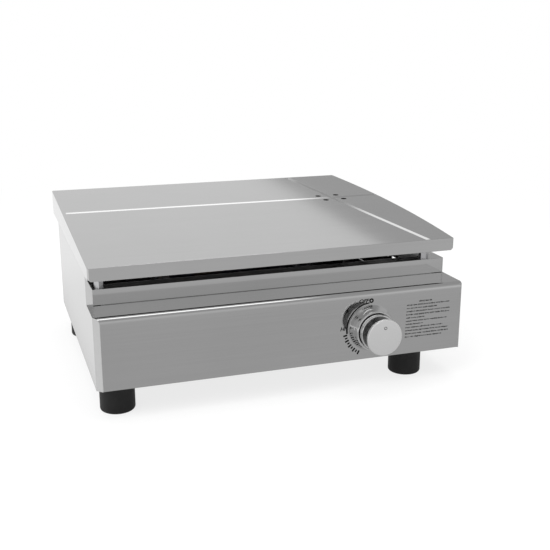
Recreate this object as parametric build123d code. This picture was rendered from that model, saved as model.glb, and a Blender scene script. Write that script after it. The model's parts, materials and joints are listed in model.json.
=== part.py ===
from build123d import *
import math
import os

# Table-top gas griddle: a removable stainless plate standing on four spacers
# above a folded sheet-steel body, one push-and-turn gas knob, rubber feet.
# Frame: +Z up, +Y to the back, +X to the right, origin on the table under the
# middle of the overall box.  Units are millimetres.

# ---------------------------------------------------------------- plate
PLATE_W = 430.0          # left to right
PLATE_Y0, PLATE_Y1 = -156.0, 222.5
PLATE_ZF, PLATE_ZB = 162.2, 179.2     # top face falls towards the front
PLATE_T = 3.0
PLATE_BOW = 10.0         # right edge bows outwards in plan
SKIRT_Z = 147.4          # level lower edge of the folded skirt
CREASE_W, CREASE_D = 7.0, 1.3
DRAIN_D = 8.0
DRAINS = [(139.4, 91.1), (141.6, 66.4), (166.4, 91.6), (168.3, 67.2)]
CREASE_A = ((-210.6, 84.3), (154.2, 78.9), (222.2, 79.2))      # across
CREASE_B = ((181.6, -154.4), (154.2, 78.9), (138.4, 220.8))    # front to back

# ---------------------------------------------------------------- body
BODY_W = 429.4
PANEL_Y = -181.6         # control panel face
RIM_Y = -135.1           # upper fascia face
BACK_Y = 161.8
BODY_Z0 = 33.6
LEDGE_Z = 114.7
RIM_Z = 132.7
BEND_R = 6.4
CORNER_CUT = 6.4         # left front corner is folded flat at 45 degrees
RIGHT_R = 2.0            # tight folds down the right corners
SHEET = 1.2
FLANGE = 18.0
WIDE_FLANGE = 50.0
GUARD_Z = 147.1          # left side panel rises to just under the plate skirt

# ---------------------------------------------------------------- feet, spacers
FOOT_R = 19.3
FEET = [(-189.6, -149.9), (158.8, -149.9), (-191.0, 110.6), (158.8, 110.6)]
SPACERS = [(-200.8, -127.5), (191.0, -127.5), (-200.8, 147.3), (191.0, 147.3)]
HEX_AF = 10.0
SPIGOT_R, CUP_R = 3.4, 3.5

# ---------------------------------------------------------------- gas controls
KX, KZ = 98.0, 71.5      # knob axis
KNOB_R, KNOB_FACE = 21.0, -220.0
KNOB_PUSH = 3.0
STEM_R = 4.0

PARTS = {}
hw = BODY_W / 2


def box(x0, x1, y0, y1, z0, z1):
    return Pos((x0 + x1) / 2, (y0 + y1) / 2, (z0 + z1) / 2) * Box(
        abs(x1 - x0), abs(y1 - y0), abs(z1 - z0))


def cyl_z(x, y, z0, z1, r):
    return Pos(x, y, (z0 + z1) / 2) * Cylinder(r, abs(z1 - z0))


def cyl_y(x, z, y0, y1, r):
    return Pos(x, (y0 + y1) / 2, z) * Rot(90, 0, 0) * Cylinder(r, abs(y1 - y0))


def cyl_x(y, z, x0, x1, r):
    return Pos((x0 + x1) / 2, y, z) * Rot(0, 90, 0) * Cylinder(r, abs(x1 - x0))


def hex_z(x, y, z0, z1, af):
    return Pos(x, y, z0) * extrude(RegularPolygon(af / math.sqrt(3), 6), z1 - z0)


def hex_y(x, z, y0, y1, af):
    # y0 < y1
    return Pos(x, y1, z) * Rot(90, 0, 0) * extrude(
        RegularPolygon(af / math.sqrt(3), 6), y1 - y0)


def yz_prism(pts, x0, x1):
    """Closed outline in Y-Z pushed from x0 to x1."""
    w = Polyline(*[(x0, p[0], p[1]) for p in pts], close=True)
    return extrude(make_face(w), x1 - x0, dir=(1, 0, 0))


def rev_y(pts, x, z):
    """Profile of (radius, y) turned about the knob axis line at x, z."""
    w = Polyline(*[(p[0], p[1], 0) for p in pts], close=True)
    return Pos(x, 0, z) * revolve(make_face(w), Axis.Y)


def tube(path, r, ri=0.0):
    start = Plane(origin=path @ 0, z_dir=path % 0)
    outer = sweep(start * Circle(r), path)
    if ri:
        outer = outer - sweep(start * Circle(ri), path)
    return outer


def solids(*shapes):
    out = []
    for s in shapes:
        out += list(s.solids())
    return Compound(children=out)


def plate_top(y):
    return PLATE_ZF + (PLATE_ZB - PLATE_ZF) * (y - PLATE_Y0) / (PLATE_Y1 - PLATE_Y0)


# ================================================================ griddle plate
pw = PLATE_W / 2


def plan_block(inset, z0, z1):
    """Plan outline of the plate (straight left, front and back, bowed right) pushed up."""
    x, y0, y1 = pw - inset, PLATE_Y0 + inset, PLATE_Y1 - inset
    edges = [Line((-x, y0, z0), (x, y0, z0)),
             ThreePointArc((x, y0, z0), (x + PLATE_BOW, (y0 + y1) / 2, z0), (x, y1, z0)),
             Line((x, y1, z0), (-x, y1, z0)), Line((-x, y1, z0), (-x, y0, z0))]
    return extrude(make_face(Wire([e.edge() for e in edges])), z1 - z0, dir=(0, 0, 1))


def above(y0, y1, drop):
    """Everything above the sloped top lowered by drop."""
    return yz_prism([(y0, plate_top(y0) - drop), (y1, plate_top(y1) - drop), (y1, 320.0), (y0, 320.0)], -300, 300)


outer = plan_block(0.0, SKIRT_Z, 200.0) - above(-260.0, 320.0, 0.0)
vert = outer.edges().filter_by(Axis.Z)
outer = fillet(vert, 1.6)
topf = outer.faces().sort_by(Axis.Z)[-1]
outer = fillet(topf.edges(), 0.8)
inner = plan_block(PLATE_T, SKIRT_Z - 5, 200.0) - above(-260.0, 320.0, PLATE_T)
plate = outer - inner


def crease_prism(p, q, up):
    """V ridge or groove between two points of the plate's sloped top."""
    slope = (PLATE_ZB - PLATE_ZF) / (PLATE_Y1 - PLATE_Y0)
    a = Vector(p[0], p[1], plate_top(p[1]))
    b = Vector(q[0], q[1], plate_top(q[1]))
    d = (b - a).normalized()
    n = Vector(0, -slope, 1).normalized()
    side = n.cross(d).normalized()
    w, h = CREASE_W / 2, CREASE_D
    if up:
        tri = [a + side * w * 1.25 + n * h * 0.25, a - side * w * 1.25 + n * h * 0.25,
               a - n * h]
    else:
        o = a - n * (PLATE_T - 0.3)
        tri = [o + side * w, o - side * w, o - n * (h + 0.3)]
    f = make_face(Polyline(*tri, close=True))
    return extrude(f, (b - a).length, dir=tuple(d))


for c in (CREASE_A, CREASE_B):
    ridge = crease_prism(c[0], c[1], False) + crease_prism(c[1], c[2], False)
    plate = plate + (ridge & box(-pw + 3.1, pw - 3.1, PLATE_Y0 + 3.1, PLATE_Y1 - 3.1, 100, 250))
for c in (CREASE_A, CREASE_B):
    plate = plate - crease_prism(c[0], c[1], True) - crease_prism(c[1], c[2], True)
for x, y in DRAINS:
    plate = plate - cyl_z(x, y, 140, 200, DRAIN_D / 2)
# clipped lower corners of the front skirt
for sx in (-1, 1):
    cut = Pos(sx * pw, PLATE_Y0 + 1.5, SKIRT_Z) * Rot(0, 45, 0) * Box(4.4, 9.0, 4.4)
    plate = plate - cut
plate = plate.solids().sort_by(SortBy.VOLUME)[-1]
PARTS["griddle_plate"] = plate

# locating cups welded under the plate, one over each spacer
cups = []
for x, y in SPACERS:
    zu = plate_top(y) - PLATE_T
    ring = cyl_z(x, y, zu - 6.5, zu + 4, 6.6) - cyl_z(x, y, zu - 20, zu + 9, CUP_R)
    under = yz_prism([(y - 20, plate_top(y - 20) - PLATE_T), (y + 20, plate_top(y + 20) - PLATE_T),
                      (y + 20, zu - 30), (y - 20, zu - 30)], x - 20, x + 20)
    cups.append(ring & under)
PARTS["plate_cups"] = solids(*cups)

# ================================================================ folded body
def plan_prism(x, y0, y1, z0, z1, cut, r_left, r_right):
    """Upright block: left front corner cut flat, the other corners rounded."""
    b = box(-x, x, y0, y1, z0, z1)
    ym = (y0 + y1) / 2

    def upright(sx, sy):
        return [e for e in b.edges().filter_by(Axis.Z)
                if e.center().X * sx > 0 and (e.center().Y - ym) * sy > 0]

    b = chamfer(upright(-1, -1), cut)
    b = fillet(upright(-1, 1), r_left)
    b = fillet(upright(1, -1) + upright(1, 1), r_right)
    return b


def stepped(x, y_front, y_rim, y_back, z0, z_ledge, z_rim, r, cut, r_left, r_right):
    low = box(-x - 5, x + 5, y_front, y_back, z0, z_ledge)
    front_top = [e for e in low.edges() if abs(e.center().Z - z_ledge) < 1e-3
                 and abs(e.center().Y - y_front) < 1e-3]
    low = fillet(front_top, r) & plan_prism(x, y_front, y_back, z0 - 1, z_ledge + 1, cut, r_left, r_right)
    up = plan_prism(x, y_rim, y_back, z_ledge - 6, z_rim, cut, r_left, r_right)
    return low + up


shell_out = stepped(hw, PANEL_Y, RIM_Y, BACK_Y, BODY_Z0, LEDGE_Z, RIM_Z, BEND_R,
                    CORNER_CUT, BEND_R, RIGHT_R)
shell_in = stepped(hw - SHEET, PANEL_Y + SHEET, RIM_Y + SHEET, BACK_Y - SHEET,
                   BODY_Z0 - 5, LEDGE_Z - SHEET, RIM_Z - SHEET, BEND_R - SHEET,
                   CORNER_CUT - SHEET * (2 - math.sqrt(2)), BEND_R - SHEET, RIGHT_R - SHEET)
shell = shell_out - shell_in
# top opening; the right flange is wide in front of the drain chute
shell = shell - (box(-hw + FLANGE, hw - FLANGE, RIM_Y + FLANGE, BACK_Y - FLANGE, 125, 150)
                 - box(hw - WIDE_FLANGE, hw, RIM_Y, 40.0, 120, 151))
for x, y in SPACERS:
    shell = shell - cyl_z(x, y, 125, 140, 3.2)

cx = hw - BEND_R - 0.05           # left seam just past the folded corner
cxr = hw - RIGHT_R - 0.05         # right seam just past the tight corner
KEEP_Y0, KEEP_Y1 = RIM_Y + FLANGE, BACK_Y - FLANGE


def side_region(s):
    a = box(s * (cx if s < 0 else cxr), s * (hw + 5), PANEL_Y - 5, BACK_Y + 5, 0, 200)
    return a


mid = box(-cx + 0.06, cxr - 0.06, PANEL_Y - 5, BACK_Y + 5, 0, 200)
right_side = shell & side_region(1)
left_side = shell & side_region(-1)
middle = shell & mid
fascia = middle & box(-300, 300, RIM_Y - 5, KEEP_Y0, LEDGE_Z + 0.45, 200)
ledge_panel = middle & box(-300, 300, PANEL_Y - 5, KEEP_Y0, 0, LEDGE_Z + 0.001)
back = middle & box(-300, 300, KEEP_Y1, BACK_Y + 5, 0, 200)
right_flange = middle & box(50, 300, KEEP_Y0 + 0.05, KEEP_Y1 - 0.05, 100, 200)
left_flange = middle & box(-300, -50, KEEP_Y0 + 0.05, KEEP_Y1 - 0.05, 100, 200)

# right side panel with its top flange; opening for the grease tray
TRAY_Y0, TRAY_Y1 = 14.0, 124.0
TRAY_Z0, TRAY_Z1 = 41.2, 71.2
right_side = right_side + box(cx - 0.2, hw - SHEET, KEEP_Y0 + 0.05, KEEP_Y1 - 0.05, RIM_Z - SHEET, RIM_Z) \
    + right_flange + box(cx - 0.1, cx + 0.1, KEEP_Y0 + 0.05, KEEP_Y1 - 0.05, RIM_Z - SHEET, RIM_Z)
right_side = right_side - box(hw - 8, hw + 8, TRAY_Y0 - 0.8, TRAY_Y1 + 0.8, TRAY_Z0 - 0.8, TRAY_Z1 + 0.8)

# left side panel: one sheet that rises past its top flange to the plate skirt
gy = RIM_Y + CORNER_CUT
guard = box(-hw, -hw + SHEET, gy, BACK_Y - BEND_R, RIM_Z - 10, GUARD_Z)
# the folded corner runs up into the guard with a diagonal front edge
web = make_face(Polyline((-hw, gy, RIM_Z - 4), (-hw + CORNER_CUT, RIM_Y, RIM_Z - 4),
                         (-hw + CORNER_CUT, RIM_Y, RIM_Z), (-hw, gy, GUARD_Z), close=True))
web = extrude(web, SHEET, dir=(1 / math.sqrt(2), 1 / math.sqrt(2), 0))
guard = guard + (web & box(-300, -cx, -300, 300, 0, 300))
left_side = left_side + guard + left_flange \
    + box(-cx - 0.1, -cx + 0.1, KEEP_Y0 + 0.05, KEEP_Y1 - 0.05, RIM_Z - SHEET, RIM_Z)


def biggest(s):
    return s.solids().sort_by(SortBy.VOLUME)[-1]


# cooling slots in the right side
for i in range(7):
    y = -70 + i * 22
    slot = Pos(0, y, 100) * Box(2 * hw + 20, 12, 3.4)
    right_side = right_side - slot
right_side = biggest(right_side)
left_side = biggest(left_side)
PARTS["right_side_panel"] = right_side
PARTS["left_side_panel"] = left_side

fascia = biggest(fascia)
PARTS["upper_fascia"] = fascia

# control panel: upturned flange behind the fascia, bottom return flange
ledge_panel = ledge_panel & box(-300, 300, PANEL_Y - 5, RIM_Y + SHEET + SHEET, 0, 200)
ledge_panel = ledge_panel + box(-cx + 0.06, cx - 0.06, RIM_Y + 0.0, RIM_Y + 2 * SHEET, LEDGE_Z - SHEET, LEDGE_Z)
ledge_panel = ledge_panel + box(-cx + 8, cx - 8, RIM_Y + SHEET, RIM_Y + 2 * SHEET, LEDGE_Z - SHEET, LEDGE_Z + 12)
ledge_panel = ledge_panel + box(-cx + 0.06, cx - 0.06, PANEL_Y + 0.2, PANEL_Y + 14, BODY_Z0, BODY_Z0 + SHEET)
ledge_panel = ledge_panel - cyl_y(KX, KZ, PANEL_Y - 5, PANEL_Y + 5, 8.0)
for sx in (-1, 1):
    ledge_panel = ledge_panel - cyl_y(KX + sx * 14, KZ, PANEL_Y - 5, PANEL_Y + 5, 2.1)
ledge_panel = biggest(ledge_panel)
low_edge = [e for e in ledge_panel.edges().filter_by(Axis.X)
            if abs(e.center().Y - PANEL_Y) < 1e-3 and abs(e.center().Z - BODY_Z0) < 1e-3]
ledge_panel = fillet(low_edge, 1.1)
PARTS["control_panel"] = ledge_panel

# back panel with exhaust slots and the gas inlet hole
INX, INZ = -180.0, 65.2
back = biggest(back)
for r_ in range(2):
    for i in range(9):
        back = back - box(-150 + i * 36, -150 + i * 36 + 24, BACK_Y - 5, BACK_Y + 5, 100 + r_ * 12, 104 + r_ * 12)
back = back - cyl_y(INX, INZ, BACK_Y - 5, BACK_Y + 5, 8.2)
PARTS["back_panel"] = biggest(back)

# base pan: floor sheet with upturned edges, feet holes, air slots
bx = hw - SHEET - 0.05
by0, by1 = PANEL_Y + 14.1, BACK_Y - SHEET - 0.05
base = box(-bx, bx, by0, by1, BODY_Z0, BODY_Z0 + SHEET)
base = base - box(bx - 6, bx + 6, by1 - 6, by1 + 6, 0, 100) - box(-bx - 6, -bx + 6, by1 - 6, by1 + 6, 0, 100)
base = base + box(-bx, -bx + SHEET, by0 + 6, by1 - 8, BODY_Z0, BODY_Z0 + 7)
base = base + box(bx - SHEET, bx, by0 + 6, by1 - 8, BODY_Z0, BODY_Z0 + 7)
base = base + box(-bx + 8, bx - 8, by1 - SHEET, by1, BODY_Z0, BODY_Z0 + 14)
for x, y in FEET:
    base = base - cyl_z(x, y, 30, 50, 3.2)
for i in range(8):
    base = base - box(-150 + i * 26, -150 + i * 26 + 5, -70, 60, 30, 50)
PARTS["base_pan"] = biggest(base)

# heat shield between the control space and the burner space
HS_Y = -118.5
IGZ = 91.2               # igniter height
shield = box(-hw + 3, hw - 3, HS_Y, HS_Y + 1.0, BODY_Z0 + SHEET, RIM_Z - 6)
shield = shield - box(-hw, -hw + 12, HS_Y - 3, HS_Y + 4, 0, BODY_Z0 + 9) - box(hw - 12, hw, HS_Y - 3, HS_Y + 4, 0, BODY_Z0 + 9)
shield = shield + box(-hw + 14, hw - 14, HS_Y, HS_Y + 14, BODY_Z0 + SHEET, BODY_Z0 + SHEET + 1.0)
BZ = 83.2                # burner axis height
shield = shield - cyl_y(KX, BZ, HS_Y - 5, HS_Y + 5, 13.0)
shield = shield - cyl_y(INX, INZ, HS_Y - 5, HS_Y + 5, 6.0)
shield = shield - cyl_y(141, IGZ, HS_Y - 5, HS_Y + 5, 3.0)
for i in range(6):
    shield = shield - box(-140 + i * 34, -140 + i * 34 + 22, HS_Y - 2, HS_Y + 3, 52, 56)
PARTS["heat_shield"] = biggest(shield)

# ================================================================ spacers
spacers, nuts, wash = [], [], []
for x, y in SPACERS:
    zt = plate_top(y) - PLATE_T
    h = Pos(x, y, RIM_Z) * Rot(0, 0, 30) * extrude(
        RegularPolygon(HEX_AF / math.sqrt(3), 6), zt - 6.5 - RIM_Z)
    h = h + cyl_z(x, y, zt - 7.0, zt - 1.4, SPIGOT_R) + cyl_z(x, y, RIM_Z - 12, RIM_Z + 0.5, 3.0)
    spacers.append(h)
    wash.append(cyl_z(x, y, RIM_Z - SHEET - 1.0, RIM_Z - SHEET, 6.0) - cyl_z(x, y, 0, 200, 3.05))
    n = hex_z(x, y, RIM_Z - SHEET - 6.0, RIM_Z - SHEET - 1.0, 10.0) - cyl_z(x, y, 0, 200, 3.03)
    nuts.append(n)
PARTS["plate_spacers"] = solids(*spacers)
PARTS["spacer_nuts"] = solids(*nuts)
PARTS["spacer_washers"] = solids(*wash)

# ================================================================ feet
feet, fscrews, fwash, fnuts = [], [], [], []
for x, y in FEET:
    f = cyl_z(x, y, 0, BODY_Z0, FOOT_R)
    f = fillet(f.edges().sort_by(Axis.Z)[0], 3.0)
    f = f - cyl_z(x, y, -1, 12, 9.0) - cyl_z(x, y, -1, 60, 3.05)
    feet.append(f)
    s = cyl_z(x, y, 8.0, 12.0 - 1.2, 6.0) + cyl_z(x, y, 9.0, 40.4, 3.0)
    s = s - Pos(x, y, 8.0) * extrude(RegularPolygon(2.8, 6), 2.2)
    fscrews.append(s)
    fwash.append(cyl_z(x, y, 10.8, 12.0, 8.6) - cyl_z(x, y, 0, 60, 3.04))
    fnuts.append(hex_z(x, y, BODY_Z0 + SHEET, BODY_Z0 + SHEET + 5, 10.0) - cyl_z(x, y, 0, 60, 3.03))
PARTS["rubber_feet"] = solids(*feet)
PARTS["foot_screws"] = solids(*fscrews)
PARTS["foot_washers"] = solids(*fwash)
PARTS["foot_nuts"] = solids(*fnuts)

# ================================================================ burner
LEGX = 98.3
B_R, B_RI = 12.0, 11.0
yb, yf, cr = 95.0, -96.0, 34.0
p = Line((KX, yf, BZ), (KX, yb - cr, BZ))
p += CenterArc((KX - cr, yb - cr, BZ), cr, 0, 90)
p += Line((KX - cr, yb, BZ), (-KX + cr, yb, BZ))
p += CenterArc((-KX + cr, yb - cr, BZ), cr, 90, 90)
p += Line((-KX, yb - cr, BZ), (-KX, yf + 26, BZ))
wire = Wire(p.edges())
start = Plane(origin=(KX, yf, BZ), z_dir=(0, 1, 0))
b_out = sweep(start * Circle(B_R), wire)
b_in = sweep(start * Circle(B_RI), wire)
burner = b_out - b_in
endcap = cyl_y(-KX, BZ, yf + 24.8, yf + 26.2, B_R)
burner = burner + endcap
slots = []
for i in range(11):
    y = -70 + i * 12
    for x in (KX, -KX):
        slots.append(Pos(x, y, BZ + 8.6) * Box(30, 2.0, 2.0))
for i in range(11):
    x = -60 + i * 12
    slots.append(Pos(x, yb, BZ + 8.6) * Box(2.0, 30, 2.0))
burner = burner - Compound(children=slots)
PARTS["burner_tube"] = biggest(burner)

# venturi mouth: the tube slips inside the front end of the burner
vent = rev_y([(9.4, -150.0), (10.9, -150.0), (10.9, -84.0), (9.4, -84.0)], KX, BZ)
vent = vent + rev_y([(9.4, -150.0), (11.8, -150.0), (11.8, -148.5), (9.4, -148.5)], KX, BZ)
vent = vent - box(KX - 20, KX + 20, -143.0, -133.0, BZ - 3.5, BZ + 3.5)
PARTS["burner_venturi"] = biggest(vent)
# rotating air shutter sleeve with two matching windows
shut = rev_y([(11.0, -147.8), (12.4, -147.8), (12.4, -127.0), (11.0, -127.0)], KX, BZ)
shut = shut - box(KX - 20, KX + 20, -143.0, -133.0, BZ - 3.5, BZ + 3.5)
shut = shut + box(KX - 1.0, KX + 1.0, -131.5, -128.5, BZ + 12.0, BZ + 20.0)
PARTS["air_shutter"] = biggest(shut)

# burner cradle brackets on the base pan
zb = BODY_Z0 + SHEET
cradles = []
for x, y in ((KX, -24.0), (-KX, -24.0)):
    br = box(x - 13, x + 13, y, y + 1.5, zb, BZ - 1) - cyl_y(x, BZ, y - 5, y + 5, B_R + 0.02)
    br = br + box(x - 13, x + 13, y, y + 14, zb, zb + 1.5)
    cradles.append(br)
PARTS["burner_cradles"] = solids(*cradles)

# ================================================================ gas valve
# body: block with mounting face, jet boss at the back, inlet boss on the left
VY0, VY1 = PANEL_Y + 2.4, -157.0
bracket = box(KX - 20, KX + 20, PANEL_Y + SHEET, PANEL_Y + 2.4, KZ - 11, KZ + 11)
bracket = bracket - cyl_y(KX, KZ, PANEL_Y, PANEL_Y + 5, 8.0)
for sx in (-1, 1):
    bracket = bracket - cyl_y(KX + sx * 14, KZ, PANEL_Y, PANEL_Y + 5, 2.1)
PARTS["valve_bracket"] = bracket
body = cyl_y(KX, KZ, VY0, VY1, 11.0) + box(KX - 9, KX + 9, VY0 + 6, VY1, KZ - 9, BZ + 7)
body = body + cyl_y(KX, BZ, VY1 - 2, VY1 + 3, 6.0)
body = body + cyl_x(VY1 - 9, INZ, KX - 20, KX - 5, 6.0)
# tapered plug bore, stem bore, gas ways
body = body - rev_y([(0, VY0 - 1), (9.0, VY0 - 1), (9.0, VY0 + 6.0), (7.0, VY0 + 6.0), (5.5, VY1 - 3.5), (0, VY1 - 3.5)], KX, KZ)
body = body - cyl_x(VY1 - 9, INZ, KX - 21, KX - 5, 2.5)
body = body - cyl_y(KX, BZ, VY1 - 9, VY1 + 4, 3.0) - cyl_z(KX, VY1 - 8, KZ + 3, BZ, 2.0)
PARTS["valve_body"] = biggest(body)
plug = rev_y([(0, VY0 + 6.4), (6.85, VY0 + 6.4), (5.42, VY1 - 4.0), (0, VY1 - 4.0)], KX, KZ)
plug = plug - box(KX - 2.05, KX + 2.05, VY0, VY0 + 13.0, KZ - 4.2, KZ + 4.2)
plug = plug - cyl_z(KX, VY1 - 8, KZ - 12, KZ + 12, 1.8)
PARTS["valve_plug"] = biggest(plug)
cap = cyl_y(KX, KZ, VY0 + 0.05, VY0 + 3.0, 8.9) - cyl_y(KX, KZ, VY0 - 2, VY0 + 5, STEM_R + 0.1)
cap = cap + (cyl_y(KX, KZ, PANEL_Y + 0.6, VY0 + 0.1, 7.6) - cyl_y(KX, KZ, VY0 - 8, VY0 + 5, STEM_R + 0.1))
PARTS["valve_bonnet"] = biggest(cap)
# stem: flat blade drives the plug and slides in it; D flat on the outer end
stem = cyl_y(KX, KZ, -214.0, VY0 + 3.2, STEM_R)
stem = stem + box(KX - 2.0, KX + 2.0, VY0 + 3.15, VY0 + 9.2, KZ - 3.9, KZ + 3.9)
stem = stem - box(KX - 5, KX + 5, -215.0, -196.0, KZ + 2.6, KZ + 5)
PARTS["valve_stem"] = biggest(stem)
jet = hex_y(KX, BZ, VY1 + 3.0, VY1 + 7.0, 8.0) + cyl_y(KX, BZ, VY1 - 5, VY1 + 3.1, 2.95)
jet = jet - cyl_y(KX, BZ, VY1 - 6, VY1 + 8, 0.5) - cyl_y(KX, BZ, VY1 - 6, VY1 + 4, 1.6)
PARTS["gas_jet"] = biggest(jet)
vs = []
for sx in (-1, 1):
    s = cyl_y(KX + sx * 14, KZ, PANEL_Y - 2.2, PANEL_Y, 3.6) + cyl_y(KX + sx * 14, KZ, PANEL_Y - 1.0, PANEL_Y + 7.0, 2.0)
    s = s - box(KX + sx * 14 - 4, KX + sx * 14 + 4, PANEL_Y - 3, PANEL_Y - 1.2, KZ - 0.5, KZ + 0.5)
    vs.append(s)
PARTS["valve_screws"] = solids(*vs)

# return spring between the bonnet and the knob boss (open coil)
SP_Y0, SP_Y1 = PANEL_Y - 14.2, PANEL_Y + 0.6
coil = Helix(pitch=(SP_Y1 - SP_Y0 - 1.2) / 4.0, height=SP_Y1 - SP_Y0 - 1.2, radius=5.6)
cp = Plane(origin=coil @ 0, z_dir=coil % 0)
spring = sweep(cp * Circle(0.5), coil, is_frenet=True)
spring = Pos(KX, SP_Y1 - 0.58, KZ) * Rot(90, 0, 0) * spring
PARTS["return_spring"] = spring

# ================================================================ bezel and knob
d0 = PANEL_Y
bezel = rev_y([(10.0, d0 - 0.02), (27.2, d0 - 0.02), (27.0, d0 - 1.4), (25.6, d0 - 5.0), (24.2, d0 - 9.5),
               (23.4, d0 - 13.6), (22.9, d0 - 14.6), (22.2, d0 - 15.0), (21.6, d0 - 14.6), (21.6, d0 - 4.0),
               (10.0, d0 - 4.0)], KX, KZ)
for sx in (-1, 1):
    bezel = bezel - cyl_y(KX + sx * 14, KZ, d0 - 6, d0 + 1, 4.4)
PARTS["knob_bezel"] = biggest(bezel)
# skirt: chrome sleeve carrying the boss that takes the stem
skirt = rev_y([(6.6, d0 - 7.6), (20.5, d0 - 7.6), (20.8, d0 - 8.2), (20.8, d0 - 19.4), (20.5, d0 - 20.2), (19.7, d0 - 20.6), (6.6, d0 - 20.6)], KX, KZ)
skirt = skirt + rev_y([(0, d0 - 14.4), (9.0, d0 - 14.4), (9.0, d0 - 34.0), (0, d0 - 34.0)], KX, KZ)
skirt = skirt - (cyl_y(KX, KZ, -214.0, d0, STEM_R) - box(KX - 5, KX + 5, -214.5, -196.0, KZ + 2.6, KZ + 5))
PARTS["knob_skirt"] = biggest(skirt)
grip = rev_y([(9.05, d0 - 20.65), (19.6, d0 - 20.65), (19.6, d0 - 34.0), (9.05, d0 - 34.0)], KX, KZ)
PARTS["knob_grip"] = biggest(grip)
RI_IND = 0.54 * KNOB_R
capk = rev_y([(0, d0 - 34.05), (20.4, d0 - 34.05), (20.9, d0 - 34.5), (21.0, d0 - 35.2), (21.0, d0 - 36.4), (20.85, d0 - 37.0),
              (20.4, d0 - 37.5), (19.6, d0 - 37.8), (14.0, d0 - 38.15), (7.0, d0 - 38.33), (0, KNOB_FACE)], KX, KZ)
capk = capk - (cyl_y(KX, KZ + RI_IND, -222, d0 - 36.9, 1.9) - cyl_y(KX, KZ + RI_IND, -223, d0 - 36.0, 1.1))
PARTS["knob_cap"] = biggest(capk)
ind = cyl_y(KX, KZ + RI_IND, -219.5, d0 - 36.92, 1.88) - cyl_y(KX, KZ + RI_IND, -223, -210, 1.12)
PARTS["knob_indicator"] = ind

# ================================================================ gas pipe
r_ = 16.0
px, py = INX, VY1 - 9
pe = BACK_Y - 8.5
e1 = Line((px, pe, INZ), (px, py + r_, INZ))
e2 = CenterArc((px + r_, py + r_, INZ), r_, 180, 90)
e3 = Line((px + r_, py, INZ), (KX - 24.0, py, INZ))
pipe_w = Wire([e1.edge(), e2.edge(), e3.edge()])
sp = Plane(origin=(px, pe, INZ), z_dir=(0, -1, 0))
gas_pipe = sweep(sp * Circle(4.0), pipe_w) - sweep(sp * Circle(3.0), pipe_w)
PARTS["gas_pipe"] = biggest(gas_pipe)
nut = Pos(KX - 26.0, py, INZ) * Rot(0, 90, 0) * extrude(RegularPolygon(8.0, 6), 5.9)
nut = nut - cyl_x(py, INZ, KX - 40, KX, 4.02)
PARTS["pipe_nut"] = biggest(nut)
inlet = cyl_y(INX, INZ, BACK_Y - 16.5, BACK_Y + 18, 7.9) - cyl_y(INX, INZ, BACK_Y - 26, pe, 4.02) - cyl_y(INX, INZ, 130, 200, 2.8)
inlet = inlet + (hex_y(INX, INZ, BACK_Y + 0.02, BACK_Y + 6.0, 19.0) - cyl_y(INX, INZ, 130, 200, 7.0))
PARTS["gas_inlet"] = biggest(inlet)
lock = hex_y(INX, INZ, BACK_Y - SHEET - 5.0, BACK_Y - SHEET - 0.02, 21.0) - cyl_y(INX, INZ, 130, 200, 7.95)
PARTS["inlet_locknut"] = lock

# ================================================================ ignition
ig = cyl_y(140.0, IGZ, PANEL_Y + SHEET + 0.02, PANEL_Y + SHEET + 34, 8.0)
ig = ig + cyl_y(140.0, IGZ, PANEL_Y + SHEET + 34, PANEL_Y + SHEET + 38, 3.0)
PARTS["igniter_module"] = ig
# electrode: ceramic sleeve with a bent wire tip over the burner
EX, EY = 60.0, -30.0
cer = cyl_z(EX, EY, 57.2, 87.2, 3.5) - cyl_z(EX, EY, 55.0, 92.0, 0.92)
cer = cer + (cyl_z(EX, EY, 65.2, 68.2, 5.0) - cyl_z(EX, EY, 55, 92, 0.92))
PARTS["electrode_ceramic"] = cer
tw = Wire([Line((EX, EY, 49.2), (EX, EY, 92.2)).edge(),
           ThreePointArc((EX, EY, 92.2), (EX + 1.4645, EY, 95.7355), (EX + 5, EY, 97.2)).edge(),
           Line((EX + 5, EY, 97.2), (KX - 20, EY, 97.2)).edge()])
PARTS["electrode_tip"] = sweep(Plane(origin=(EX, EY, 49.2), z_dir=(0, 0, 1)) * Circle(0.9), tw)
eb = box(EX - 8, EX + 8, EY - 8, EY + 8, 63.7, 65.2) - cyl_z(EX, EY, 55, 75, 3.55)
eb = eb + box(EX - 8, EX + 8, EY + 6.5, EY + 8, zb, 65.2) + box(EX - 8, EX + 8, EY + 6.5, EY + 20, zb, zb + 1.5)
PARTS["electrode_bracket"] = biggest(eb)
# high-voltage lead from the module to the electrode
lw = Spline((140.0, PANEL_Y + SHEET + 38.1, IGZ), (141.0, HS_Y, IGZ), (134.0, -92.0, 65.2), (104.0, -62.0, 45.2),
            (EX + 0.9, EY, 45.2), tangents=[(0, 1, 0), (-1, 0, 0)])
lead = sweep(Plane(origin=lw @ 0, z_dir=lw % 0) * Circle(1.5), lw)
PARTS["ignition_lead"] = lead
boot = cyl_z(EX, EY, 42.7, 57.1, 3.4) - cyl_z(EX, EY, 48.7, 58.2, 0.95)
boot = boot - cyl_x(EY, 45.2, EX + 0.8, EX + 10, 1.52)
PARTS["lead_boot"] = biggest(boot)

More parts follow.
